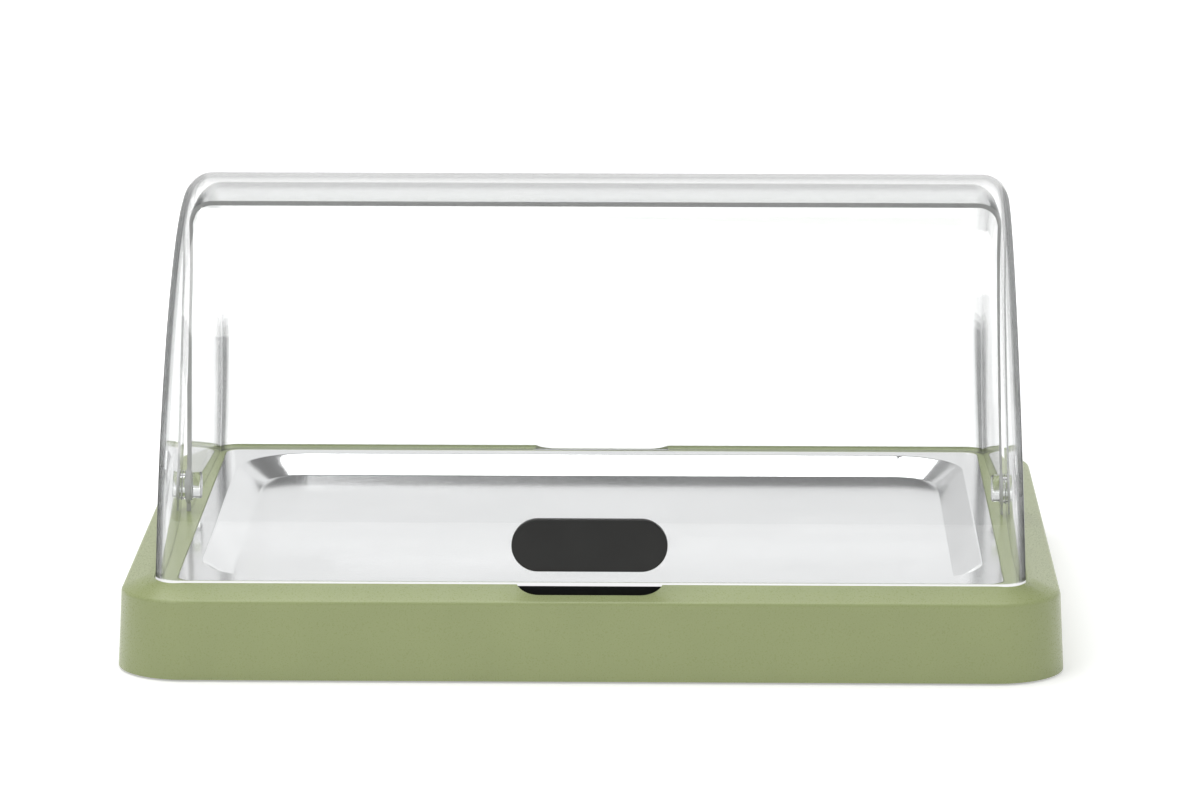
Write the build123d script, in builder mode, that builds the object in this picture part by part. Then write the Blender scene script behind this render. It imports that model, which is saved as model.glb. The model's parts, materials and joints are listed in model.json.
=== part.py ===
# Roll-top display with a cooled base: a moulded casing that holds cooling packs under a
# steel tray, and two clear quarter-drum covers that turn past each other on side pivots.
# Millimetres, +Z up, +X to the right, the front faces -Y, origin under the middle.
import os
from math import asin, atan2, cos, degrees, hypot, radians, sin, sqrt, tan

from build123d import *

os.makedirs("parts", exist_ok=True)

# Casing: outer form
base_length = 440.0
base_depth = 335.0
corner_radius = 33.0
side_draft = 3.0
edge_height = 36.7
rim_rise = 5.9
shoulder_radius = 2.5
casing_wall = 3.0
deck_thickness = 2.2
foot_proud = 1.0

# Casing: seats for the cover and the tray
side_margin = 14.6
front_margin = 14.8
rebate_depth = 1.0
rebate_gap = 0.6
seat_width = 7.5
well_draft = 3.0
well_radius = 10.0
well_wall = 2.5
well_floor_height = 14.0
divider_width = 2.0
divider_height = 7.0

# Covers
cover_wall = 2.2
cover_corner = 12.0
pivot_height = 13.1
end_taper = 2.5
taper_lean = 60.0
end_gap = 2.8
roof_gap = 2.6
front_overlap = 10.0
rear_overlap = 12.0
rear_opening = 80.0
lobe_radius = 8.5
lobe_blend = 4.0

# Pivots
pin_diameter = 8.0
pin_clearance = 0.05
knob_diameter = 13.0
knob_tray_gap = 0.7
knob_round = 0.8
knob_slot_width = 1.6
knob_slot_depth = 1.0
cap_diameter = 14.0
cap_length = 2.6
cap_skin = 1.0
boss_diameter = 15.0
boss_height = 0.5
washer_diameter = 14.0
face_clearance = 0.05

# Grip on the front cover
grip_length = 72.0
grip_height = 24.5
grip_thickness = 3.2
grip_round = 1.0
grip_peg_diameter = 5.0
grip_peg_spacing = 40.0
grip_rise = 6.7
bond_gap = 0.05

# Serving tray
tray_sheet = 0.8
tray_corner = 7.0
tray_flange = 8.5
tray_slope_width = 13.0
tray_pan_depth = 8.5
tray_pan_radius = 35.0
tray_bend_radius = 2.0
tray_side_clearance = 0.5
tray_rear_clearance = 2.2
tray_pocket_gap = 0.5
tray_lift = 25.0

# Finger wells at the front and rear
finger_length = 68.5
finger_radius = 11.0
finger_inner_radius = 2.0
finger_reach = 7.8
finger_inset = 1.0
finger_depth = 14.0
finger_wall = 2.2
liner_sheet = 1.5
liner_gap = 0.15

# Cooling packs
pack_height = 15.5
pack_gap = 1.5
pack_corner = 14.0
pack_edge = 3.5
panel_columns = 2
panel_rows = 3
panel_margin = 14.0
panel_rib = 10.0
panel_depth = 1.6
panel_radius = 9.0
panel_draft = 30.0
pack_cap_diameter = 22.0
pack_cap_height = 5.0
pack_cap_inset = 24.0
pack_cap_drop = 0.8
pack_cap_slot = 2.4
pack_cap_round = 0.5
pack_cap_gap = 0.1

# Underside
plate_thickness = 2.5
plate_gap = 0.4
insulation_gap = 1.0
foot_diameter = 20.0
foot_seat = 1.0
foot_seat_gap = 0.05
foot_round = 0.4
foot_inset_x = 42.0
foot_inset_y = 38.0
screw_shank_diameter = 3.0
screw_head_diameter = 6.4
screw_head_height = 1.4
screw_head_drop = 0.2
screw_hole_gap = 0.2
screw_length = 11.0
screw_slot = 0.9
screw_boss_diameter = 8.0
screw_corner_inset = 22.0
screw_mid_share = 100.0
screw_thread_gap = 0.02

# How near a point lies to the outline that it is picked by
near = 0.01

# Levels, counted from the surface that the feet stand on
casing_bottom = foot_proud
edge_level = casing_bottom + edge_height
rim_level = edge_level + rim_rise
ledge_level = rim_level - rebate_depth
tray_seat_level = ledge_level - tray_sheet
plate_top = casing_bottom + plate_thickness
well_underside = well_floor_height - well_wall
pivot_level = ledge_level + pivot_height

# Cover sizes, worked out from where its foot stands on the rim
taper = tan(radians(end_taper))
lean_y = cos(radians(taper_lean))
lean_z = sin(radians(taper_lean))
front_foot = base_depth / 2 - front_margin - rebate_gap
front_radius = sqrt(front_foot**2 + pivot_height**2)
foot_half = base_length / 2 - side_margin - rebate_gap
front_half = foot_half - taper * lean_z * pivot_height
rear_radius = front_radius - cover_wall - roof_gap
rear_half = front_half - cover_wall - end_gap


def half_length(hub_half, reach, level):
    """Half the length of a shell whose ends lean in, a given reach out from its pivot."""
    return hub_half - taper * (lean_y * reach + lean_z * (level - pivot_level))


def foot_reach(radius):
    """How far from the pivot a shell of this radius stands on the ledge."""
    return sqrt(radius**2 - pivot_height**2)


# Tray, pocket and well, worked out from the room that the rear shell leaves. The raised tray
# is nearest to the shell's end walls once the shell is turned over to the front
tray_half_depth = foot_reach(rear_radius - cover_wall) - tray_rear_clearance
raised_angle = degrees(asin((ledge_level + tray_lift - pivot_level) / tray_half_depth))
meeting_angle = 180 - raised_angle - rear_opening
meeting_lean = tray_half_depth * cos(radians(meeting_angle - taper_lean))
tray_half_length = rear_half - cover_wall - taper * meeting_lean - tray_side_clearance
pocket_half_length = tray_half_length + tray_pocket_gap
pocket_half_depth = tray_half_depth + tray_pocket_gap
well_half_length = pocket_half_length - seat_width
well_half_depth = pocket_half_depth - seat_width
well_depth = tray_seat_level - well_floor_height
well_shrink = tan(radians(well_draft)) * well_depth
side_shrink = tan(radians(side_draft)) * edge_height


def rounded_block(half_x, half_y, radius, low, high, draft=0.0):
    """A closed block with rounded upright corners, drafted inwards as it rises."""
    with BuildPart() as block:
        with BuildSketch(Plane.XY.offset(low)):
            RectangleRounded(2 * half_x, 2 * half_y, radius)
        extrude(amount=high - low, taper=draft)
    return block.part


def frustum(half_x, half_y, radius, low, inset, high):
    """A low hipped block: its upper outline lies a set inset inside the lower one."""
    with BuildPart() as block:
        with BuildSketch(Plane.XY.offset(low)):
            RectangleRounded(2 * half_x, 2 * half_y, radius)
        with BuildSketch(Plane.XY.offset(high)):
            RectangleRounded(2 * (half_x - inset), 2 * (half_y - inset), radius - inset)
        loft(ruled=True)
    return block.part


# Where the bottom screws stand: four corners and two along each long side
boss_x = base_length / 2 - screw_corner_inset
boss_y = base_depth / 2 - screw_corner_inset
boss_mid_y = (base_depth / 2 - casing_wall + well_half_depth + well_wall) / 2
screw_places = [(sx * boss_x, sy * boss_y) for sx in (-1, 1) for sy in (-1, 1)]
screw_places += [(sx * screw_mid_share, sy * boss_mid_y) for sx in (-1, 1) for sy in (-1, 1)]

# Finger wells, as plan outlines from the tray pocket's edge to the sloping rim
finger_low = pocket_half_depth + finger_inset
finger_high = front_foot + finger_reach
finger_floor = ledge_level - finger_depth


def finger_outline(grow, level):
    """Plan outline of the front finger well on a level, grown by a wall all round."""
    with BuildSketch(Plane.XY.offset(level)) as outline:
        with Locations((0, -(finger_low + finger_high) / 2)):
            Rectangle(finger_length + 2 * grow, finger_high - finger_low + 2 * grow)
        outer = outline.vertices().group_by(Axis.Y)[0]
        inner = outline.vertices().group_by(Axis.Y)[-1]
        fillet(outer, finger_radius + grow)
        fillet(inner, finger_inner_radius + grow)
    return outline.sketch


# Casing outer body
shoulder_half_x = base_length / 2 - side_shrink
shoulder_half_y = base_depth / 2 - side_shrink
shoulder_corner = corner_radius - side_shrink
rim_inset = front_margin - side_shrink
lower_body = rounded_block(
    base_length / 2, base_depth / 2, corner_radius, casing_bottom, edge_level, side_draft
)
upper_body = frustum(
    shoulder_half_x, shoulder_half_y, shoulder_corner, edge_level, rim_inset, rim_level
)

# Room under the deck, around the well
hollow_top = edge_level - casing_wall
hollow_shrink = tan(radians(side_draft)) * (hollow_top - casing_bottom)
hollow_half_x = base_length / 2 - casing_wall
hollow_half_y = base_depth / 2 - casing_wall
hollow_corner = corner_radius - casing_wall
lower_hollow = rounded_block(
    hollow_half_x, hollow_half_y, hollow_corner, casing_bottom, hollow_top, side_draft
)
upper_hollow = frustum(
    hollow_half_x - hollow_shrink,
    hollow_half_y - hollow_shrink,
    hollow_corner - hollow_shrink,
    hollow_top,
    rim_inset,
    tray_seat_level - deck_thickness,
)
well_skin = rounded_block(
    well_half_length - well_shrink + well_wall,
    well_half_depth - well_shrink + well_wall,
    well_radius,
    well_underside,
    rim_level,
    -well_draft,
)
well_room = rounded_block(
    well_half_length - well_shrink,
    well_half_depth - well_shrink,
    well_radius - well_wall,
    well_floor_height,
    rim_level,
    -well_draft,
)

finger_skin_low = finger_floor - finger_wall
finger_skin = extrude(
    finger_outline(finger_wall, finger_skin_low), amount=rim_level - finger_skin_low
)
finger_pocket = extrude(finger_outline(0, finger_floor), amount=rim_level - finger_floor)

with BuildPart() as hollow:
    add(lower_hollow)
    add(upper_hollow)
    add(well_skin, mode=Mode.SUBTRACT)
    add(finger_skin, mode=Mode.SUBTRACT)
    add(mirror(finger_skin, about=Plane.XZ, mode=Mode.PRIVATE), mode=Mode.SUBTRACT)
    with BuildSketch(Plane.XY.offset(plate_top)):
        with Locations(*screw_places):
            Circle(screw_boss_diameter / 2)
    extrude(amount=rim_level - plate_top, mode=Mode.SUBTRACT)

# The rebate follows the foot of the covers, which is widest at the pivots
rebate_mid = foot_half + rebate_gap
rebate_end = half_length(front_half, front_foot, ledge_level) + rebate_gap
rebate_front = front_foot + rebate_gap

with BuildPart() as base_casing:
    add(lower_body)
    add(upper_body)
    shoulder_edges = base_casing.edges().filter_by_position(
        Axis.Z, edge_level - near, edge_level + near
    )
    fillet(shoulder_edges, shoulder_radius)
    add(hollow.part, mode=Mode.SUBTRACT)
    with BuildSketch(Plane.XY.offset(ledge_level)) as rebate:
        with BuildLine():
            Polyline(
                (rebate_mid, 0),
                (rebate_end, rebate_front),
                (-rebate_end, rebate_front),
                (-rebate_mid, 0),
                (-rebate_end, -rebate_front),
                (rebate_end, -rebate_front),
                close=True,
            )
        make_face()
        corners = [v for v in rebate.vertices() if abs(v.Y) > rebate_front / 2]
        fillet(corners, cover_corner + rebate_gap)
    extrude(amount=rim_rise, mode=Mode.SUBTRACT)
    with BuildSketch(Plane.XY.offset(tray_seat_level)):
        RectangleRounded(2 * pocket_half_length, 2 * pocket_half_depth, tray_corner + tray_pocket_gap)
    extrude(amount=rim_rise, mode=Mode.SUBTRACT)
    add(well_room, mode=Mode.SUBTRACT)
    add(finger_pocket, mode=Mode.SUBTRACT)
    add(mirror(finger_pocket, about=Plane.XZ, mode=Mode.PRIVATE), mode=Mode.SUBTRACT)
    with Locations((0, 0, well_floor_height)):
        Box(
            divider_width,
            2 * (well_half_depth - well_shrink) - 2 * well_radius,
            divider_height,
            align=(Align.CENTER, Align.CENTER, Align.MIN),
        )
    with Locations(*[(x, y, plate_top) for x, y in screw_places]):
        Cylinder(
            screw_shank_diameter / 2 + screw_thread_gap,
            screw_length,
            align=(Align.CENTER, Align.CENTER, Align.MIN),
            mode=Mode.SUBTRACT,
        )
base_casing.part.label = "base_casing"
export_step(base_casing.part, "parts/base_casing.step")

# Black lining of each finger well: a floor, and a wall on the tray's side only
liner_top = ledge_level - liner_gap
liner_front = -(front_foot - cover_wall)
liner_blank = extrude(
    finger_outline(-liner_gap, finger_floor), amount=liner_top - finger_floor
)
liner_room = extrude(
    finger_outline(-liner_gap - liner_sheet, finger_floor + liner_sheet), amount=finger_depth
)
with BuildPart() as finger_liner_front:
    add(liner_blank)
    add(liner_room, mode=Mode.SUBTRACT)
    with Locations((0, liner_front, finger_floor + liner_sheet)):
        Box(
            2 * finger_length,
            finger_high - finger_low,
            finger_depth,
            align=(Align.CENTER, Align.MAX, Align.MIN),
            mode=Mode.SUBTRACT,
        )
finger_liner_front.part.label = "finger_liner_front"
export_step(finger_liner_front.part, "parts/finger_liner_front.step")

with BuildPart() as finger_liner_rear:
    add(mirror(finger_liner_front.part, about=Plane.XZ))
finger_liner_rear.part.label = "finger_liner_rear"
export_step(finger_liner_rear.part, "parts/finger_liner_rear.step")

# Bottom plate, its screws and the feet
foot_x = base_length / 2 - foot_inset_x
foot_y = base_depth / 2 - foot_inset_y
foot_places = {
    "front_left": (-foot_x, -foot_y),
    "front_right": (foot_x, -foot_y),
    "rear_left": (-foot_x, foot_y),
    "rear_right": (foot_x, foot_y),
}
screw_seat = casing_bottom + screw_head_height + screw_head_drop

with BuildPart() as base_bottom_plate:
    with BuildSketch(Plane.XY.offset(casing_bottom)):
        RectangleRounded(
            2 * (hollow_half_x - plate_gap), 2 * (hollow_half_y - plate_gap), hollow_corner - plate_gap
        )
    extrude(amount=plate_thickness)
    with BuildSketch(Plane.XY.offset(casing_bottom)):
        with Locations(*screw_places):
            Circle(screw_head_diameter / 2 + screw_hole_gap)
    extrude(amount=screw_seat - casing_bottom, mode=Mode.SUBTRACT)
    with BuildSketch(Plane.XY.offset(casing_bottom)):
        with Locations(*screw_places):
            Circle(screw_shank_diameter / 2 + screw_hole_gap)
    extrude(amount=plate_thickness, mode=Mode.SUBTRACT)
    with BuildSketch(Plane.XY.offset(casing_bottom)):
        with Locations(*foot_places.values()):
            Circle(foot_diameter / 2 + foot_seat_gap)
    extrude(amount=foot_seat, mode=Mode.SUBTRACT)
base_bottom_plate.part.label = "base_bottom_plate"
export_step(base_bottom_plate.part, "parts/base_bottom_plate.step")

with BuildPart() as bottom_screws:
    for x, y in screw_places:
        with Locations((x, y, screw_seat)):
            Cylinder(
                screw_head_diameter / 2,
                screw_head_height,
                align=(Align.CENTER, Align.CENTER, Align.MAX),
            )
            Cylinder(
                screw_shank_diameter / 2,
                screw_length,
                align=(Align.CENTER, Align.CENTER, Align.MIN),
            )
            for turn in (0, 90):
                with Locations(Location((0, 0, -screw_head_height), (0, 0, turn))):
                    Box(
                        screw_head_diameter - 2 * screw_slot,
                        screw_slot,
                        screw_slot,
                        align=(Align.CENTER, Align.CENTER, Align.MIN),
                        mode=Mode.SUBTRACT,
                    )
bottom_screws.part.label = "bottom_screws"
export_step(bottom_screws.part, "parts/bottom_screws.step")

for corner, (x, y) in foot_places.items():
    with BuildPart() as foot:
        with Locations((x, y, 0)):
            Cylinder(
                foot_diameter / 2,
                foot_proud + foot_seat,
                align=(Align.CENTER, Align.CENTER, Align.MIN),
            )
        chamfer(foot.edges().group_by(Axis.Z)[0], foot_round)
    foot.part.label = f"foot_{corner}"
    export_step(foot.part, f"parts/foot_{corner}.step")

# Foam slab between the bottom plate and the well
with BuildPart() as insulation_slab:
    with BuildSketch(Plane.XY.offset(plate_top)):
        RectangleRounded(
            2 * (well_half_length - well_shrink - insulation_gap),
            2 * (well_half_depth - well_shrink - insulation_gap),
            well_radius,
        )
    extrude(amount=well_underside - plate_top)
insulation_slab.part.label = "insulation_slab"
export_step(insulation_slab.part, "parts/insulation_slab.step")

# Cooling packs, one each side of the divider, each with a filler cap near the front
pack_low_x = divider_width / 2 + pack_gap
pack_high_x = well_half_length - well_shrink - pack_gap
pack_half_y = well_half_depth - well_shrink - pack_gap
pack_mid_x = (pack_low_x + pack_high_x) / 2
pack_length_x = pack_high_x - pack_low_x
pack_top = well_floor_height + pack_height
pack_cap_y = -pack_half_y + pack_cap_inset
pack_cap_floor = pack_top - pack_cap_drop - pack_cap_height
panel_low_y = pack_cap_y + pack_cap_diameter / 2 + panel_rib
panel_high_y = pack_half_y - panel_margin
panel_step_x = (pack_length_x - 2 * panel_margin + panel_rib) / panel_columns
panel_step_y = (panel_high_y - panel_low_y + panel_rib) / panel_rows
for name, side in (("left", -1), ("right", 1)):
    with BuildPart() as pack:
        with BuildSketch(Plane.XY.offset(well_floor_height)):
            with Locations((side * pack_mid_x, 0)):
                RectangleRounded(pack_length_x, 2 * pack_half_y, pack_corner)
        extrude(amount=pack_height)
        fillet(pack.edges().group_by(Axis.Z)[0] + pack.edges().group_by(Axis.Z)[-1], pack_edge)
        with BuildSketch(Plane.XY.offset(pack_top)):
            with Locations((side * pack_mid_x, (panel_low_y + panel_high_y) / 2)):
                with GridLocations(panel_step_x, panel_step_y, panel_columns, panel_rows):
                    RectangleRounded(panel_step_x - panel_rib, panel_step_y - panel_rib, panel_radius)
        extrude(amount=-panel_depth, taper=panel_draft, mode=Mode.SUBTRACT)
        with Locations((side * pack_mid_x, pack_cap_y, pack_cap_floor)):
            Cylinder(
                pack_cap_diameter / 2 + pack_cap_gap,
                2 * pack_cap_height,
                align=(Align.CENTER, Align.CENTER, Align.MIN),
                mode=Mode.SUBTRACT,
            )
    pack.part.label = f"cooling_pack_{name}"
    export_step(pack.part, f"parts/cooling_pack_{name}.step")

    with BuildPart() as filler_cap:
        with Locations((side * pack_mid_x, pack_cap_y, pack_cap_floor)):
            Cylinder(
                pack_cap_diameter / 2, pack_cap_height, align=(Align.CENTER, Align.CENTER, Align.MIN)
            )
        chamfer(filler_cap.edges().group_by(Axis.Z)[-1], pack_cap_round)
        with Locations((side * pack_mid_x, pack_cap_y, pack_cap_floor + pack_cap_height)):
            Box(
                pack_cap_diameter - 2 * pack_cap_slot,
                pack_cap_slot,
                2 * pack_cap_slot,
                mode=Mode.SUBTRACT,
            )
    filler_cap.part.label = f"pack_cap_{name}"
    export_step(filler_cap.part, f"parts/pack_cap_{name}.step")

# Serving tray: a flat flange and a pan with sloping sides, all of one sheet
slope_angle = degrees(atan2(tray_pan_depth, tray_slope_width))
sheet_shift = tray_sheet * tan(radians(slope_angle / 2))


def pan(grow, drop):
    """The pan's room, grown sideways and dropped, so that two of them make a sheet's two faces."""
    mouth_x = tray_half_length - tray_flange + grow
    mouth_y = tray_half_depth - tray_flange + grow
    with BuildPart() as room:
        with BuildSketch(Plane.XY.offset(ledge_level - tray_pan_depth - drop)):
            RectangleRounded(
                2 * (mouth_x - tray_slope_width),
                2 * (mouth_y - tray_slope_width),
                tray_pan_radius - tray_slope_width + grow,
            )
        with BuildSketch(Plane.XY.offset(ledge_level - drop)):
            RectangleRounded(2 * mouth_x, 2 * mouth_y, tray_pan_radius + grow)
        loft(ruled=True)
        fillet(room.edges().group_by(Axis.Z)[0], tray_bend_radius + drop)
    return room.part


pan_outside = pan(sheet_shift, tray_sheet)
pan_inside = pan(0, 0)
with BuildPart() as serving_tray:
    with BuildSketch(Plane.XY.offset(tray_seat_level)):
        RectangleRounded(2 * tray_half_length, 2 * tray_half_depth, tray_corner)
    extrude(amount=tray_sheet)
    add(pan_outside)
    add(pan_inside, mode=Mode.SUBTRACT)
    mouth = [
        e
        for e in serving_tray.edges().group_by(Axis.Z)[-1]
        if max(abs(e.center().X) - tray_half_length, abs(e.center().Y) - tray_half_depth)
        < -tray_flange / 2
    ]
    fillet(mouth, tray_bend_radius)
serving_tray.part.label = "serving_tray"
export_step(serving_tray.part, "parts/serving_tray.step")


# Covers. Each is a slice of a hollow drum whose ends lean in towards the side it faces
def drum(radius, hub_half, rim_radius, facing):
    """A drum on the pivot axis, its leaning ends rounded into its round wall."""
    with BuildPart() as body:
        with BuildSketch(Plane.YZ):
            with Locations((0, pivot_level)):
                Circle(radius)
        extrude(amount=base_length, both=True)
        for side in (-1, 1):
            end = Plane(
                origin=(side * hub_half, 0, pivot_level),
                z_dir=(side, facing * taper * lean_y, taper * lean_z),
            )
            split(bisect_by=end, keep=Keep.BOTTOM)
        fillet(body.edges().filter_by(GeomType.ELLIPSE), rim_radius)
    return body.part


def cover_profile(radius, facing, overlap):
    """Side view of a cover: its slice of the drum, its foot and the lobe around its pivot."""
    foot_angle = degrees(asin(pivot_height / radius))
    with BuildSketch(Plane.YZ) as profile:
        with BuildLine():
            arc = CenterArc((0, pivot_level), radius, -foot_angle, 90 + foot_angle + overlap)
            Polyline(arc @ 1, (0, pivot_level), (0, ledge_level), arc @ 0)
        make_face()
        with Locations((0, pivot_level)):
            Circle(lobe_radius)
        meets = [
            v
            for v in profile.vertices()
            if abs(hypot(v.X, v.Y - pivot_level) - lobe_radius) < near
        ]
        fillet(meets, lobe_blend)
    if facing > 0:
        return profile.sketch
    return mirror(profile.sketch, about=Plane.XZ)


def cover_shell(radius, hub_half, facing, overlap):
    """One clear shell with its bosses, before its holes are made."""
    outside = drum(radius, hub_half, cover_corner, facing)
    inside = drum(radius - cover_wall, hub_half - cover_wall, cover_corner - cover_wall, facing)
    profile = cover_profile(radius, facing, overlap)
    boss_inner = hub_half - cover_wall - boss_height
    with BuildPart() as body:
        add(outside)
        add(inside, mode=Mode.SUBTRACT)
        extrude(profile, amount=base_length, both=True, mode=Mode.INTERSECT)
        for side in (-1, 1):
            with BuildSketch(Plane.YZ.offset(side * boss_inner)):
                with Locations((0, pivot_level)):
                    Circle(boss_diameter / 2)
            extrude(amount=side * (cover_wall + 2 * boss_height))
        with BuildSketch(Plane.YZ):
            with Locations((0, pivot_level)):
                Circle(pin_diameter / 2 + pin_clearance)
        extrude(amount=base_length, both=True, mode=Mode.SUBTRACT)
    return body.part


grip_level = pivot_level + grip_rise
grip_pegs = [(x, grip_level) for x in (-grip_peg_spacing / 2, grip_peg_spacing / 2)]

front_shell = cover_shell(front_radius, front_half, -1, front_overlap)
with BuildPart() as front_cover:
    add(front_shell)
    with BuildSketch(Plane.XZ):
        with Locations(*grip_pegs):
            Circle(grip_peg_diameter / 2 + bond_gap)
    extrude(amount=base_depth, mode=Mode.SUBTRACT)
front_cover.part.label = "front_cover"
export_step(front_cover.part, "parts/front_cover.step")

rear_shell = cover_shell(rear_radius, rear_half, 1, rear_overlap)
with BuildPart() as rear_cover:
    add(rear_shell)
rear_cover.part.label = "rear_cover"
export_step(rear_cover.part, "parts/rear_cover.step")

# Grip: a rounded plate that hugs the front cover, with two pegs through its wall
with BuildPart() as grip_back:
    with BuildSketch(Plane.YZ):
        with Locations((0, pivot_level)):
            Circle(front_radius + bond_gap)
    extrude(amount=grip_length, both=True)
with BuildPart() as grip_face:
    with BuildSketch(Plane.YZ):
        with Locations((0, pivot_level)):
            Circle(front_radius + grip_thickness)
    extrude(amount=grip_length, both=True)
with BuildPart() as grip_pins:
    with BuildSketch(Plane.XZ.offset(front_radius - cover_wall)):
        with Locations(*grip_pegs):
            Circle(grip_peg_diameter / 2)
    extrude(amount=cover_wall + grip_thickness / 2)
with BuildPart() as front_grip:
    with BuildSketch(Plane.XZ.offset(front_radius - cover_wall)):
        with Locations((0, grip_level)):
            SlotOverall(grip_length, grip_height)
    extrude(amount=2 * grip_thickness + cover_wall)
    add(grip_face.part, mode=Mode.INTERSECT)
    add(grip_back.part, mode=Mode.SUBTRACT)
    fillet(front_grip.faces().sort_by(Axis.Y)[0].edges(), grip_round)
    add(grip_pins.part)
front_grip.part.label = "front_grip"
export_step(front_grip.part, "parts/front_grip.step")

# Pivots: a pin with a knob inside, a washer between the shells and a cap outside
rear_inner_face = rear_half - cover_wall - boss_height
rear_outer_face = rear_half + boss_height
front_inner_face = front_half - cover_wall - boss_height
front_outer_face = front_half + boss_height
knob_face = rear_inner_face - face_clearance
knob_end = tray_half_length + knob_tray_gap
cap_face = front_outer_face + face_clearance
washer_face = rear_outer_face + face_clearance
pin_end = cap_face + cap_length - cap_skin
for name, side in (("left", -1), ("right", 1)):
    with BuildPart() as pin:
        with BuildSketch(Plane.XZ):
            with BuildLine():
                Polyline(
                    (knob_end, 0),
                    (knob_end, knob_diameter / 2),
                    (knob_face, knob_diameter / 2),
                    (knob_face, pin_diameter / 2),
                    (pin_end, pin_diameter / 2),
                    (pin_end, 0),
                    close=True,
                )
            make_face()
        revolve(axis=Axis.X)
        fillet(pin.edges().group_by(Axis.X)[0], knob_round)
        with Locations((knob_end, 0, 0)):
            Box(2 * knob_slot_depth, knob_slot_width, knob_diameter, mode=Mode.SUBTRACT)
    moved = pin.part.moved(Location((0, 0, pivot_level)))
    placed = moved if side > 0 else mirror(moved, about=Plane.YZ)
    placed.label = f"pivot_pin_{name}"
    export_step(placed, f"parts/pivot_pin_{name}.step")

    with BuildPart() as cap:
        with BuildSketch(Plane.YZ.offset(side * cap_face)):
            with Locations((0, pivot_level)):
                Circle(cap_diameter / 2)
        extrude(amount=side * cap_length)
        fillet(cap.edges().sort_by(Axis.X)[-1 if side > 0 else 0], cap_skin)
        with BuildSketch(Plane.YZ.offset(side * cap_face)):
            with Locations((0, pivot_level)):
                Circle(pin_diameter / 2)
        extrude(amount=side * (cap_length - cap_skin), mode=Mode.SUBTRACT)
    cap.part.label = f"pivot_cap_{name}"
    export_step(cap.part, f"parts/pivot_cap_{name}.step")

    with BuildPart() as washer:
        with BuildSketch(Plane.YZ.offset(side * washer_face)):
            with Locations((0, pivot_level)):
                Circle(washer_diameter / 2)
                Circle(pin_diameter / 2 + pin_clearance, mode=Mode.SUBTRACT)
        extrude(amount=side * (front_inner_face - face_clearance - washer_face))
    washer.part.label = f"pivot_washer_{name}"
    export_step(washer.part, f"parts/pivot_washer_{name}.step")
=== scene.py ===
"""Looks of a roll-top display: a green moulded base, a steel tray and two clear nested covers.

Metres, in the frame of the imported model: +X right, the front faces -Y, +Z up.
"""

import json
from math import asin, cos, degrees, pi, radians, sin, tan

import bmesh
import bpy
from mathutils import Euler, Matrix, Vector


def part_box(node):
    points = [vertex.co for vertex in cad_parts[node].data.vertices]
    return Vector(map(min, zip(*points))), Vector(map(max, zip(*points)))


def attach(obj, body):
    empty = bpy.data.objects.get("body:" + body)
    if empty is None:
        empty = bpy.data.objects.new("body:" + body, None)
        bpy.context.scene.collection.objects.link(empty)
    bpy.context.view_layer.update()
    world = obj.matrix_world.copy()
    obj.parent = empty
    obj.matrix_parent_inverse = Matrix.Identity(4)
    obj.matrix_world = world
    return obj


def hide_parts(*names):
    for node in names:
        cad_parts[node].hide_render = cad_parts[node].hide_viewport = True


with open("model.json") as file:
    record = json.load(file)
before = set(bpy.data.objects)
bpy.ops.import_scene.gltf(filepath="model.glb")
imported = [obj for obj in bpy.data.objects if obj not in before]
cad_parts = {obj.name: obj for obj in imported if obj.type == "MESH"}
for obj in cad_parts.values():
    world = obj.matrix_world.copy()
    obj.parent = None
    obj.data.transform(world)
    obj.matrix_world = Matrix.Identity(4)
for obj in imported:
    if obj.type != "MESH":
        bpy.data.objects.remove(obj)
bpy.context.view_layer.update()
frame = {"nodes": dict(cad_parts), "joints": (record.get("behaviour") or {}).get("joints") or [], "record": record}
mm = 0.001

# Height of the axis that both covers turn on
hinges = [joint for joint in frame["joints"] if joint["type"] == "hinge"]
pivot_height = hinges[0]["pos_m"][2]

# Camera, where the photograph was taken from
camera_target = Vector((1.9 * mm, 0, 98.8 * mm))
camera_distance = 2.786
camera_pitch = radians(11.74)
camera_yaw = radians(-1.09)
camera_lens = 172.2
camera_sensor = 36
camera_sight = 50

# Clear covers: sizes that the boxes of the nodes don't give
cover_wall = 2.2 * mm
cover_corner = 12 * mm
end_taper = tan(radians(2.5))
taper_lean = radians(60)
lobe_radius = 8.5 * mm
lobe_blend = 4 * mm
boss_radius = 7.5 * mm
boss_height = 0.5 * mm
pin_hole_radius = 4.05 * mm
pin_hole_overrun = 0.1
peg_hole_radius = 2.55 * mm
peg_offset = 20 * mm
margin = 5 * mm

# How finely round forms are stepped
round_steps = 192
corner_steps = 10
rod_steps = 64
peg_hole_steps = 32

# Softened edges
polished_edge = 0.35 * mm
moulded_edge = 0.5 * mm
sheet_edge = 0.15 * mm
small_edge = 0.25 * mm
edge_segments = 2

# Cleaning of meshes
weld_distance = 0.002 * mm
drum_weld = 0.001 * mm
flat_angle = radians(0.6)
sharp_angle = radians(35)

# Faces of the covers, told apart by how far their normals point along X. Round walls and cut
# edges come below the first value, flat ends above the last, and corners in between
wall_normal = 0.06
corner_normal_start = 0.5
corner_normal_rise = 0.3
end_normal = 0.985
flat_end_normal = 0.9999
round_alignment = 0.97

# Painted dark reflections: how dark the clear plastic is painted along its walls, on the outer wall
# alone and at its corners, each between two angles (0 face-on to 1 edge-on); then how frosted its cut edges are
wall_painted_dark = 0.12
wall_angles = (0.80, 0.98)
outer_wall_painted_dark = 0.24
outer_wall_angles = (0.66, 0.80)
corner_painted_dark = 0.72
corner_angles = (0.05, 0.50)
cut_grey = 0.78

# Painted dark reflections: corners behind the pivots are painted darkest up to this height, and fade to a share
# above it
rear_painted_dark_top = 108 * mm
rear_painted_dark_fade = 12 * mm
rear_painted_dark_share = 0.25

# Painted highlight: the foot of the outer cover glows white, standing in for light that gathers there
foot_line_top = 44.3 * mm
foot_line_fade = 0.3 * mm
foot_painted_glow = 0.75

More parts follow.
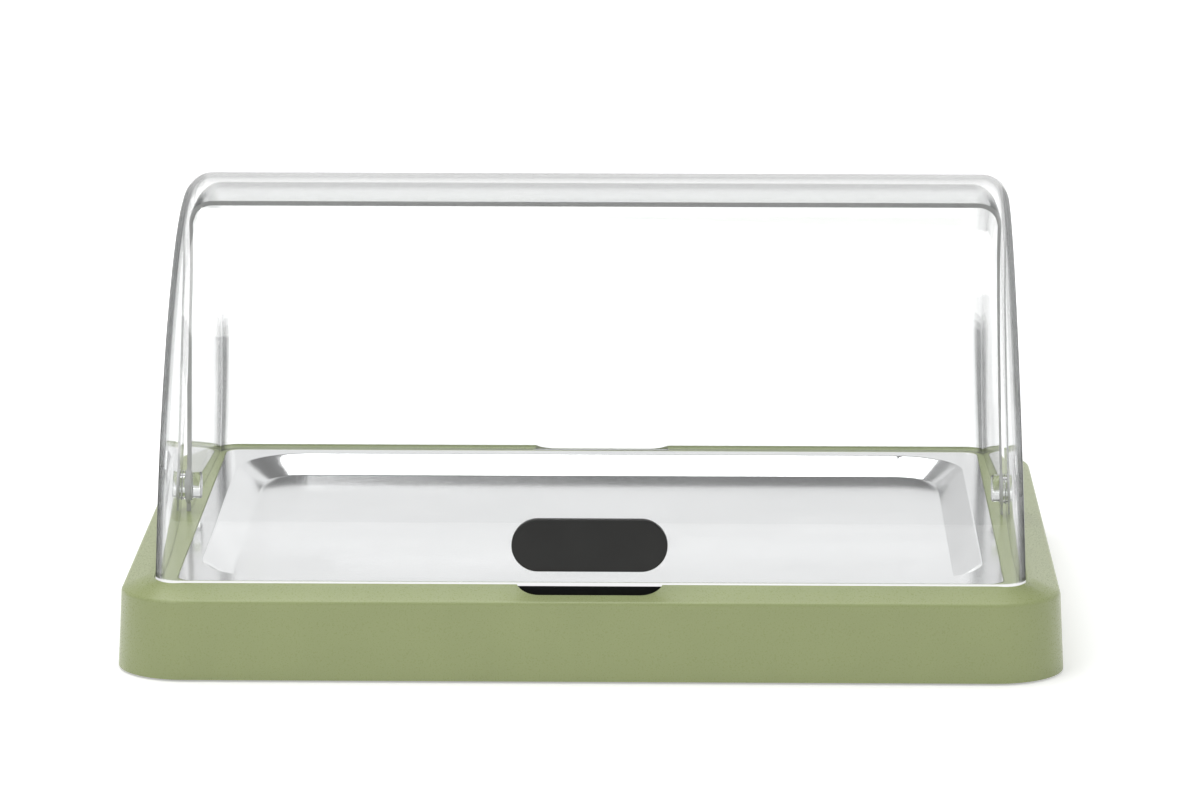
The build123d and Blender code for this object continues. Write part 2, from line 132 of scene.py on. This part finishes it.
# Floor: radius, and how its glow grows with the distance from the object
floor_radius = 9
floor_glow_reach = (0.3, 1.6)
floor_glow = (0.42, 0.90)

# Room in a reflection: levels by the sine of the height, then one dimmer side to the front and
# one to the left, each between two shares of the direction
room_dark = 0.16
room_levels = [
    (0, 1),
    (0.10, 1),
    (0.19, 0.87),
    (0.48, 0.87),
    (0.60, room_dark),
    (0.87, room_dark),
    (0.96, 1),
]
front_dim = 0.75
front_dim_sides = (-0.9, -0.4)
left_dim = 0.70
left_dim_sides = (-0.17, -0.09)
room_fill = 0.42


# Shader nodes


def start_material(name):
    """A material with one Principled shader, its nodes and its links."""
    material = bpy.data.materials.new(name)
    material.use_nodes = True
    nodes = material.node_tree.nodes
    return material, nodes, material.node_tree.links, nodes["Principled BSDF"]


def map_range(nodes, links, value, source, target, kind="LINEAR"):
    """Maps a value from one range onto another and keeps it inside."""
    step = nodes.new("ShaderNodeMapRange")
    step.interpolation_type = kind
    for name, number in zip(("From Min", "From Max", "To Min", "To Max"), (*source, *target)):
        step.inputs[name].default_value = number
    links.new(value, step.inputs["Value"])
    return step.outputs["Result"]


def ease(nodes, links, value, angles, top):
    """A smooth step from 0 to a top value."""
    return map_range(nodes, links, value, angles, (0, top), "SMOOTHSTEP")


def spread(nodes, links, value, low, high):
    """Maps noise onto a range."""
    return map_range(nodes, links, value, (0.3, 0.7), (low, high))


def compute(nodes, links, operation, first, second):
    """Two values put through one operation."""
    node = nodes.new("ShaderNodeMath")
    node.operation = operation
    links.new(first, node.inputs[0])
    links.new(second, node.inputs[1])
    return node.outputs["Value"]


def marked(nodes, name):
    """A value that the mesh stores on its faces."""
    mark = nodes.new("ShaderNodeAttribute")
    mark.attribute_name = name
    return mark.outputs["Fac"]


def own_place(nodes):
    """The place on the object, in its own coordinates."""
    return nodes.new("ShaderNodeTexCoord").outputs["Object"]


def direction_share(nodes, links, axis):
    """How far the ray that meets the world points along one axis, from -1 to 1."""
    parts = nodes.new("ShaderNodeSeparateXYZ")
    links.new(nodes.new("ShaderNodeTexCoord").outputs["Generated"], parts.inputs["Vector"])
    return parts.outputs[axis]


def noise(nodes, links, size, detail=2.0, stretch=(1, 1, 1)):
    """Noise with features of about one size, in metres, on the object's own coordinates."""
    scale = nodes.new("ShaderNodeMapping")
    scale.inputs["Scale"].default_value = stretch
    texture = nodes.new("ShaderNodeTexNoise")
    texture.inputs["Scale"].default_value = 1 / size
    texture.inputs["Detail"].default_value = detail
    links.new(own_place(nodes), scale.inputs["Vector"])
    links.new(scale.outputs["Vector"], texture.inputs["Vector"])
    return texture.outputs["Fac"]


def tint(nodes, links, value, low, high):
    """Mixes two colours by noise."""
    mix = nodes.new("ShaderNodeMix")
    mix.data_type = "RGBA"
    mix.inputs[6].default_value = (*low, 1)
    mix.inputs[7].default_value = (*high, 1)
    links.new(spread(nodes, links, value, 0, 1), mix.inputs["Factor"])
    return mix.outputs[2]


def bump(nodes, links, value, depth, shader):
    """Lets noise raise the surface by a depth, in metres."""
    relief = nodes.new("ShaderNodeBump")
    relief.inputs["Strength"].default_value = 1
    relief.inputs["Distance"].default_value = depth
    links.new(value, relief.inputs["Height"])
    links.new(relief.outputs["Normal"], shader.inputs["Normal"])


def plain_shader(nodes, kind, colour):
    """A shader of one kind with nothing but a colour."""
    shader = nodes.new(kind)
    shader.inputs["Color"].default_value = (*colour, 1)
    return shader.outputs[0]


def mix_shaders(nodes, links, share, first, second):
    """The first shader, which gives way to the second as the share grows."""
    mix = nodes.new("ShaderNodeMixShader")
    links.new(share, mix.inputs["Fac"])
    links.new(first, mix.inputs[1])
    links.new(second, mix.inputs[2])
    return mix.outputs["Shader"]


def highest(nodes, links, values):
    """The highest of some values."""
    top = values[0]
    for value in values[1:]:
        top = compute(nodes, links, "MAXIMUM", top, value)
    return top


def ray_kinds(nodes, links, kinds):
    """1 for rays of the given kinds."""
    ray = nodes.new("ShaderNodeLightPath")
    return highest(nodes, links, [ray.outputs[f"Is {kind} Ray"] for kind in kinds])


def seen_rays(nodes, links):
    """1 for rays that show what they meet: from the camera, in a reflection or through glass."""
    return ray_kinds(nodes, links, ("Camera", "Glossy", "Transmission"))


# Materials


def shade(colour, factor):
    """A colour made lighter or darker."""
    return tuple(min(1, channel * factor) for channel in colour)


def moulded(name, colour, roughness, grain, depth, mottle=0.04, gloss=0.5):
    """Moulded plastic or rubber: fine texture, slight mottling, uneven gloss."""
    material, nodes, links, shader = start_material(name)
    shader.inputs["Specular IOR Level"].default_value = gloss
    cloud = noise(nodes, links, 40 * mm, 3)
    fine = noise(nodes, links, grain, 2)
    body = tint(nodes, links, cloud, shade(colour, 1 - mottle), shade(colour, 1 + mottle))
    links.new(body, shader.inputs["Base Color"])
    uneven = spread(nodes, links, fine, roughness - 0.05, roughness + 0.05)
    links.new(uneven, shader.inputs["Roughness"])
    bump(nodes, links, fine, depth, shader)
    return material


def steel(name, colour, roughness, stretch, line, depth):
    """Metal with fine lines along one direction."""
    material, nodes, links, shader = start_material(name)
    lines = noise(nodes, links, line, 4, stretch)
    cloud = noise(nodes, links, 60 * mm, 2)
    shader.inputs["Metallic"].default_value = 1
    body = tint(nodes, links, cloud, shade(colour, 0.97), shade(colour, 1.03))
    links.new(body, shader.inputs["Base Color"])
    uneven = spread(nodes, links, lines, roughness - 0.02, roughness + 0.03)
    links.new(uneven, shader.inputs["Roughness"])
    bump(nodes, links, lines, depth, shader)
    return material


def foam(name):
    """Beaded foam: round cells pressed together."""
    material, nodes, links, shader = start_material(name)
    cells = nodes.new("ShaderNodeTexVoronoi")
    cells.inputs["Scale"].default_value = 1 / (3.5 * mm)
    links.new(own_place(nodes), cells.inputs["Vector"])
    body = tint(nodes, links, cells.outputs["Distance"], (0.86, 0.86, 0.84), (0.74, 0.74, 0.72))
    links.new(body, shader.inputs["Base Color"])
    shader.inputs["Roughness"].default_value = 0.85
    bump(nodes, links, cells.outputs["Distance"], -0.4 * mm, shader)
    return material


def painted_dark_share(nodes, links):
    """How much painted dark reflection clear plastic gets at a place, from its angle and from what its face is
    part of.
    """
    facing = nodes.new("ShaderNodeLayerWeight").outputs["Facing"]
    wall = ease(nodes, links, facing, wall_angles, wall_painted_dark)
    outer = ease(nodes, links, facing, outer_wall_angles, outer_wall_painted_dark)
    outer = compute(nodes, links, "MULTIPLY", outer, marked(nodes, "outer_wall"))
    corner = ease(nodes, links, facing, corner_angles, corner_painted_dark)
    corner = compute(nodes, links, "MULTIPLY", corner, marked(nodes, "corner"))
    return highest(nodes, links, [wall, outer, corner])


def foot_painted_glow_share(nodes, links):
    """Painted highlight: how much the lowest strip of the outer cover glows white."""
    height = nodes.new("ShaderNodeSeparateXYZ")
    links.new(own_place(nodes), height.inputs["Vector"])
    fade = (foot_line_top, foot_line_top - foot_line_fade)
    strip = ease(nodes, links, height.outputs["Z"], fade, foot_painted_glow)
    return compute(nodes, links, "MULTIPLY", strip, marked(nodes, "outer_wall"))


def clear(name, roughness, painted_dark_colour, cut_colour):
    """Clear plastic that light reaches through, with painted dark reflections along its walls and corners, a
    painted highlight glowing on the foot of the outer cover, and frosted cuts.
    """
    material, nodes, links, shader = start_material(name)
    shader.inputs["Base Color"].default_value = (0.978, 0.984, 0.984, 1)
    shader.inputs["Roughness"].default_value = roughness
    shader.inputs["IOR"].default_value = 1.49
    shader.inputs["Transmission Weight"].default_value = 1
    bump(nodes, links, noise(nodes, links, 90 * mm, 1), 0.05 * mm, shader)
    through = plain_shader(nodes, "ShaderNodeBsdfTransparent", (0.95, 0.955, 0.955))
    # Painted dark reflection: a grey see-through tint mixed in at grazing angles and corners
    painted_dark_tint = plain_shader(nodes, "ShaderNodeBsdfTransparent", painted_dark_colour)
    frosted = plain_shader(nodes, "ShaderNodeBsdfDiffuse", cut_colour)
    # Painted highlight: white emission along the foot of the outer cover
    bright = plain_shader(nodes, "ShaderNodeEmission", (1, 1, 1))
    lighting = ray_kinds(nodes, links, ("Shadow", "Diffuse"))
    cut = ease(nodes, links, marked(nodes, "cut"), (0, 1), cut_grey)
    surface = mix_shaders(nodes, links, lighting, shader.outputs["BSDF"], through)
    surface = mix_shaders(nodes, links, painted_dark_share(nodes, links), surface, painted_dark_tint)
    surface = mix_shaders(nodes, links, cut, surface, frosted)
    surface = mix_shaders(nodes, links, foot_painted_glow_share(nodes, links), surface, bright)
    links.new(surface, nodes["Material Output"].inputs["Surface"])
    return material


green_plastic = moulded(
    "green_plastic",
    colour=(0.345, 0.395, 0.180),
    roughness=0.30,
    grain=0.7 * mm,
    depth=0.010 * mm,
    mottle=0.025,
)
charcoal_plastic = moulded(
    "charcoal_plastic",
    colour=(0.028, 0.028, 0.027),
    roughness=0.45,
    grain=0.5 * mm,
    depth=0.010 * mm,
    mottle=0.15,
    gloss=0.22,
)
black_plastic = moulded(
    "black_plastic", colour=(0.012, 0.012, 0.013), roughness=0.45, grain=0.8 * mm, depth=0.02 * mm
)
grey_plastic = moulded(
    "grey_plastic", colour=(0.22, 0.225, 0.22), roughness=0.5, grain=0.9 * mm, depth=0.03 * mm
)
pack_plastic = moulded(
    "pack_plastic", colour=(0.62, 0.72, 0.82), roughness=0.3, grain=2 * mm, depth=0.02 * mm
)
pack_cap_plastic = moulded(
    "pack_cap_plastic", colour=(0.02, 0.09, 0.32), roughness=0.28, grain=0.8 * mm, depth=0.01 * mm
)
foot_rubber = moulded(
    "foot_rubber", colour=(0.02, 0.02, 0.02), roughness=0.75, grain=0.5 * mm, depth=0.03 * mm
)
tray_steel = steel(
    "tray_steel",
    colour=(0.92, 0.92, 0.925),
    roughness=0.13,
    stretch=(0.05, 1, 1),
    line=0.5 * mm,
    depth=0.00005 * mm,
)
screw_steel = steel(
    "screw_steel",
    colour=(0.55, 0.55, 0.53),
    roughness=0.32,
    stretch=(1, 1, 1),
    line=0.3 * mm,
    depth=0.003 * mm,
)
# The grey tint is painted dark reflection on the covers' walls and corners
clear_plastic = clear(
    "clear_plastic",
    roughness=0.015,
    painted_dark_colour=(0.30, 0.31, 0.31),
    cut_colour=(0.56, 0.56, 0.55),
)
foam_white = foam("foam")


# Mesh tools


def add_object(name, bm):
    """Turns a bmesh into an object at the origin."""
    mesh = bpy.data.meshes.new(name)
    bmesh.ops.recalc_face_normals(bm, faces=bm.faces)
    bm.to_mesh(mesh)
    bm.free()
    piece = bpy.data.objects.new(name, mesh)
    bpy.context.scene.collection.objects.link(piece)
    return piece


def apply_modifiers(piece):
    """Writes a piece's modifiers into its mesh."""
    shown = piece.evaluated_get(bpy.context.evaluated_depsgraph_get())
    mesh = bpy.data.meshes.new_from_object(shown)
    old = piece.data
    piece.modifiers.clear()
    piece.data = mesh
    bpy.data.meshes.remove(old)


def combine(piece, tool, operation):
    """Cuts a piece with another, joins them, or keeps what they share. The tool is used up."""
    step = piece.modifiers.new("combine", "BOOLEAN")
    step.object = tool
    step.operation = operation
    step.solver = "EXACT"
    apply_modifiers(piece)
    bpy.data.objects.remove(tool)


def finish_surface(piece, material, edge):
    """Smooth shading, a small radius on the sharp edges, and a material."""
    piece.data.materials.clear()
    piece.data.materials.append(material)
    for face in piece.data.polygons:
        face.use_smooth = True
        face.material_index = 0
    rounding = piece.modifiers.new("edges", "BEVEL")
    rounding.width = edge
    rounding.segments = edge_segments
    rounding.limit_method = "ANGLE"
    rounding.angle_limit = sharp_angle
    rounding.harden_normals = True
    shading = piece.modifiers.new("shading", "WEIGHTED_NORMAL")
    shading.keep_sharp = True


def mark_sharp(bm):
    """Edges that turn by more than the sharp angle stay sharp in the shading."""
    for edge in bm.edges:
        edge.smooth = edge.calc_face_angle(pi) < sharp_angle


def place_on_body(piece, node, body):
    """Puts a piece in place of its node, on the node's body."""
    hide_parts(node)
    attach(piece, body)


def dress(node, body, material, edge):
    """A clean copy of a CAD node, with rounded edges and its own finish."""
    bm = bmesh.new()
    bm.from_mesh(frame["nodes"][node].data)
    bmesh.ops.remove_doubles(bm, verts=bm.verts, dist=weld_distance)
    bmesh.ops.dissolve_limit(bm, angle_limit=flat_angle, verts=bm.verts, edges=bm.edges)
    mark_sharp(bm)
    piece = add_object(f"dressed_{node}", bm)
    finish_surface(piece, material, edge)
    place_on_body(piece, node, body)


# Clear covers


def arc(centre, radius, start, stop, steps):
    """Points on an arc, in degrees."""
    angles = [radians(start + (stop - start) * k / steps) for k in range(steps + 1)]
    return [(centre[0] + radius * cos(a), centre[1] + radius * sin(a)) for a in angles]


def polar(reach, angle):
    """The point at a distance and an angle, in degrees, from the pivot."""
    return (reach * cos(radians(angle)), reach * sin(radians(angle)))


def drum(name, radius, hub, rim, facing):
    """A drum on the pivot axis with rounded rims. Its ends lean in towards the side it faces."""
    corner = arc((hub - rim, radius - rim), rim, 0, 90, corner_steps)
    half = [(hub, 0)] + corner
    line = half + [(-x, r) for x, r in reversed(half)]
    bm = bmesh.new()
    verts = [bm.verts.new((x, 0, pivot_height + r)) for x, r in line]
    edges = [bm.edges.new(pair) for pair in zip(verts, verts[1:])]
    bmesh.ops.spin(
        bm,
        geom=verts + edges,
        cent=(0, 0, pivot_height),
        axis=(1, 0, 0),
        angle=2 * pi,
        steps=round_steps,
        use_merge=True,
    )
    bmesh.ops.remove_doubles(bm, verts=bm.verts, dist=drum_weld)
    flat = [f for f in bm.faces if abs(f.normal.x) > flat_end_normal]
    inner = [e for f in flat for e in f.edges if all(g in flat for g in e.link_faces)]
    bmesh.ops.dissolve_edges(bm, edges=list(set(inner)), use_verts=False)
    for v in bm.verts:
        lean = cos(taper_lean) * facing * v.co.y + sin(taper_lean) * (v.co.z - pivot_height)
        v.co.x -= (1 if v.co.x > 0 else -1) * end_taper * lean
    return add_object(name, bm)


def prism(name, outline, facing, half_length):
    """A side view, given as points that face forward and up from the pivot, drawn out along X."""
    bm = bmesh.new()
    verts = [bm.verts.new((-half_length, facing * u, pivot_height + v)) for u, v in outline]
    face = bm.faces.new(verts)
    moved = bmesh.ops.extrude_face_region(bm, geom=[face])["geom"]
    new_verts = [g for g in moved if isinstance(g, bmesh.types.BMVert)]
    bmesh.ops.translate(bm, verts=new_verts, vec=(2 * half_length, 0, 0))
    return add_object(name, bm)


def rod(name, radius, start, stop, steps=rod_steps):
    """A round rod between two points."""
    bm = bmesh.new()
    bmesh.ops.create_cone(
        bm,
        cap_ends=True,
        segments=steps,
        radius1=radius,
        radius2=radius,
        depth=(stop - start).length,
    )
    turn = Vector((0, 0, 1)).rotation_difference(stop - start).to_matrix()
    for v in bm.verts:
        v.co = turn @ v.co + (start + stop) / 2
    return add_object(name, bm)


def cover_outline(radius, foot_drop, overlap):
    """Side view of a cover: round wall, upper edge, the lobe around its pivot and its foot."""
    reach = radius + margin
    blend_reach = lobe_radius + lobe_blend
    start = -degrees(asin(foot_drop / reach))
    turn = degrees(asin(lobe_blend / blend_reach))
    top = 90 + overlap
    bottom = 270
    upper = polar(blend_reach, top + turn)
    lower = polar(blend_reach, bottom - turn)
    points = arc((0, 0), reach, start, top, round_steps // 2)
    points += arc(upper, lobe_blend, top + 270, top + 180 + turn, corner_steps)
    points += arc((0, 0), lobe_radius, top + turn, bottom - turn, 3 * corner_steps)[1:-1]
    points += arc(lower, lobe_blend, 90 - turn, 0, corner_steps)
    points.append((0, -foot_drop))
    return points


def cover(node, facing):
    """One clear cover, made smooth from the same sizes as its node."""
    low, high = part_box(node)
    radius = high.z - pivot_height
    foot_drop = pivot_height - low.z
    hub = high.x - end_taper * sin(taper_lean) * foot_drop
    past_pivot = -low.y if facing > 0 else high.y
    overlap = degrees(asin(past_pivot / radius))
    piece = drum(f"clear_{node}", radius, hub, cover_corner, facing)
    inner_corner = cover_corner - cover_wall
    inside = drum("inside", radius - cover_wall, hub - cover_wall, inner_corner, facing)
    combine(piece, inside, "DIFFERENCE")
    outline = cover_outline(radius, foot_drop, overlap)
    combine(piece, prism("profile", outline, facing, hub + 4 * margin), "INTERSECT")
    for side in (-1, 1):
        inner = Vector((side * (hub - cover_wall - boss_height), 0, pivot_height))
        outer = Vector((side * (hub + boss_height), 0, pivot_height))
        combine(piece, rod("boss", boss_radius, inner, outer), "UNION")
        start = inner * (1 - pin_hole_overrun)
        stop = outer * (1 + pin_hole_overrun)
        combine(piece, rod("hole", pin_hole_radius, start, stop), "DIFFERENCE")
    return piece


def cut_peg_holes(piece):
    """Holes through the front cover for the pegs of its grip."""
    grip_low, grip_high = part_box("front_grip")
    level = (grip_low.z + grip_high.z) / 2
    for side in (-1, 1):
        outer = Vector((side * peg_offset, grip_low.y - margin, level))
        inner = Vector((side * peg_offset, grip_high.y + margin, level))
        hole = rod("peg_hole", peg_hole_radius, outer, inner, peg_hole_steps)
        combine(piece, hole, "DIFFERENCE")


def clamp(value):
    """A value kept between 0 and 1."""
    return min(1, max(0, value))


def corner_painted_dark_share(face, across):
    """How much painted dark reflection a face gets as a rounded corner. High ones behind the pivots get less."""
    sideways = clamp((across - corner_normal_start) / corner_normal_rise)
    if face.center.y <= 0:
        return sideways
    high = clamp((face.center.z - rear_painted_dark_top) / rear_painted_dark_fade)
    return sideways * (1 - high * (1 - rear_painted_dark_share))


def mark_faces(mesh, radius, is_outer):
    """Stores on a cover's faces how much they are a corner, the outer wall or a cut edge. The corner value is the
    share of painted dark reflection.
    """
    names = ("outer_wall", "corner", "cut")
    outer_wall, corner, cut = (mesh.attributes.new(name, "FLOAT", "FACE") for name in names)
    for face in mesh.polygons:
        out = Vector((0, face.center.y, face.center.z - pivot_height))
        across = abs(face.normal.x)
        along_wall = abs(face.normal.dot(out.normalized())) > round_alignment
        round_wall = along_wall and out.length > radius / 2
        is_cut = across <= wall_normal and not round_wall
        if wall_normal < across < end_normal:
            corner.data[face.index].value = corner_painted_dark_share(face, across)
        if is_cut:
            cut.data[face.index].value = 1
        elif is_outer and across < end_normal:
            outer_wall.data[face.index].value = 1


def add_cover(node, body, facing):
    """Makes a cover and puts it in place of its node."""
    is_outer = node == "front_cover"
    piece = cover(node, facing)
    if is_outer:
        cut_peg_holes(piece)
    bm = bmesh.new()
    bm.from_mesh(piece.data)
    bmesh.ops.remove_doubles(bm, verts=bm.verts, dist=weld_distance)
    mark_sharp(bm)
    bm.to_mesh(piece.data)
    bm.free()
    mark_faces(piece.data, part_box(node)[1].z - pivot_height, is_outer)
    finish_surface(piece, clear_plastic, polished_edge)
    place_on_body(piece, node, body)


add_cover("front_cover", "front_shell", -1)
add_cover("rear_cover", "rear_shell", 1)

# The other pieces keep their CAD form
finishes = {
    "green_plastic": (green_plastic, moulded_edge),
    "charcoal_plastic": (charcoal_plastic, small_edge),
    "black_plastic": (black_plastic, small_edge),
    "grey_plastic": (grey_plastic, small_edge),
    "pack_plastic": (pack_plastic, small_edge),
    "pack_cap_plastic": (pack_cap_plastic, small_edge),
    "foot_rubber": (foot_rubber, small_edge),
    "tray_steel": (tray_steel, sheet_edge),
    "screw_steel": (screw_steel, sheet_edge),
    "clear_plastic": (clear_plastic, small_edge),
    "foam": (foam_white, small_edge),
}
slots = {part["node"]: part["material_slot"] for part in frame["record"]["subparts"]}
for body, members in frame["record"]["behaviour"]["bodies"].items():
    for node in members:
        if node not in ("front_cover", "rear_cover"):
            material, edge = finishes[slots[node]]
            dress(node, body, material, edge)


# Stage: floor, world, lamps and camera


def make_floor():
    """A pale floor that looks white and still takes the object's shadow."""
    bm = bmesh.new()
    bmesh.ops.create_circle(bm, cap_ends=True, segments=96, radius=floor_radius)
    floor = add_object("floor", bm)
    material, nodes, links, shader = start_material("floor")
    shader.inputs["Base Color"].default_value = (0.80, 0.80, 0.80, 1)
    shader.inputs["Roughness"].default_value = 0.9
    shader.inputs["Specular IOR Level"].default_value = 0.1
    away = nodes.new("ShaderNodeVectorMath")
    away.operation = "LENGTH"
    links.new(own_place(nodes), away.inputs[0])
    strength = map_range(nodes, links, away.outputs["Value"], floor_glow_reach, floor_glow)
    glow = nodes.new("ShaderNodeEmission")
    links.new(strength, glow.inputs["Strength"])
    dark = plain_shader(nodes, "ShaderNodeBsdfTransparent", (0, 0, 0))
    seen = seen_rays(nodes, links)
    both = nodes.new("ShaderNodeAddShader")
    links.new(shader.outputs["BSDF"], both.inputs[0])
    links.new(mix_shaders(nodes, links, seen, dark, glow.outputs["Emission"]), both.inputs[1])
    links.new(both.outputs["Shader"], nodes["Material Output"].inputs["Surface"])
    floor.data.materials.append(material)


def room_band(nodes, links):
    """How bright the room looks in a reflection: white low down and overhead, dim in between."""
    ramp = nodes.new("ShaderNodeValToRGB")
    links.new(direction_share(nodes, links, "Z"), ramp.inputs["Fac"])
    bar = ramp.color_ramp
    while len(bar.elements) < len(room_levels):
        bar.elements.new(1)
    for element, (height, level) in zip(bar.elements, room_levels):
        element.position = height
        element.color = (level, level, level, 1)
    return ramp.outputs["Color"]


def dim_side(nodes, links, colour, axis, sides, share):
    """The same room, dimmed to a share towards the negative end of one axis."""
    along = direction_share(nodes, links, axis)
    level = map_range(nodes, links, along, sides, (share, 1), "SMOOTHSTEP")
    product = nodes.new("ShaderNodeVectorMath")
    product.operation = "MULTIPLY"
    links.new(colour, product.inputs[0])
    links.new(level, product.inputs[1])
    return product.outputs["Vector"]


def make_world():
    """White to look at, a studio room in reflections, softer as a light."""
    world = bpy.data.worlds.new("world")
    world.use_nodes = True
    bpy.context.scene.world = world
    nodes, links = world.node_tree.nodes, world.node_tree.links
    background = nodes["Background"]
    room = room_band(nodes, links)
    room = dim_side(nodes, links, room, "Y", front_dim_sides, front_dim)
    room = dim_side(nodes, links, room, "X", left_dim_sides, left_dim)
    look = nodes.new("ShaderNodeMix")
    look.data_type = "RGBA"
    look.inputs[6].default_value = (1, 1, 1, 1)
    links.new(ray_kinds(nodes, links, ("Glossy",)), look.inputs["Factor"])
    links.new(room, look.inputs[7])
    links.new(look.outputs[2], background.inputs["Color"])
    strength = map_range(nodes, links, seen_rays(nodes, links), (0, 1), (room_fill, 1))
    links.new(strength, background.inputs["Strength"])


def make_lamp(name, place, target, width, height, power, mirrored=True):
    """A soft box that faces a point. It can be kept out of reflections."""
    light = bpy.data.lights.new(name, "AREA")
    light.shape = "RECTANGLE"
    light.size = width
    light.size_y = height
    light.energy = power
    lamp = bpy.data.objects.new(name, light)
    lamp.location = place
    lamp.rotation_euler = (Vector(target) - Vector(place)).to_track_quat("-Z", "Y").to_euler()
    lamp.visible_glossy = mirrored
    bpy.context.scene.collection.objects.link(lamp)


def make_camera():
    """The camera, turned by pitch and yaw about the point it looks at."""
    camera = bpy.data.objects.new("camera", bpy.data.cameras.new("camera"))
    camera.data.sensor_width = camera_sensor
    camera.data.lens = camera_lens
    camera.data.clip_end = camera_sight
    turn = Euler((pi / 2 - camera_pitch, 0, -camera_yaw))
    camera.rotation_euler = turn
    camera.location = camera_target + turn.to_matrix() @ Vector((0, 0, camera_distance))
    bpy.context.scene.collection.objects.link(camera)
    bpy.context.scene.camera = camera


make_floor()
make_world()
make_lamp("top", place=(-0.3, 0.2, 1.6), target=(0, 0, 0.1), width=1.6, height=1.4, power=17)
make_lamp("key", place=(-1.1, -1.5, 1.3), target=(0, 0, 0.08), width=1.2, height=1.0, power=9)
make_lamp(
    "fill",
    place=(1.4, -1.3, 0.9),
    target=(0, 0, 0.08),
    width=1.0,
    height=1.0,
    power=5,
    mirrored=False,
)
make_camera()
bpy.context.scene.view_settings.view_transform = "Standard"
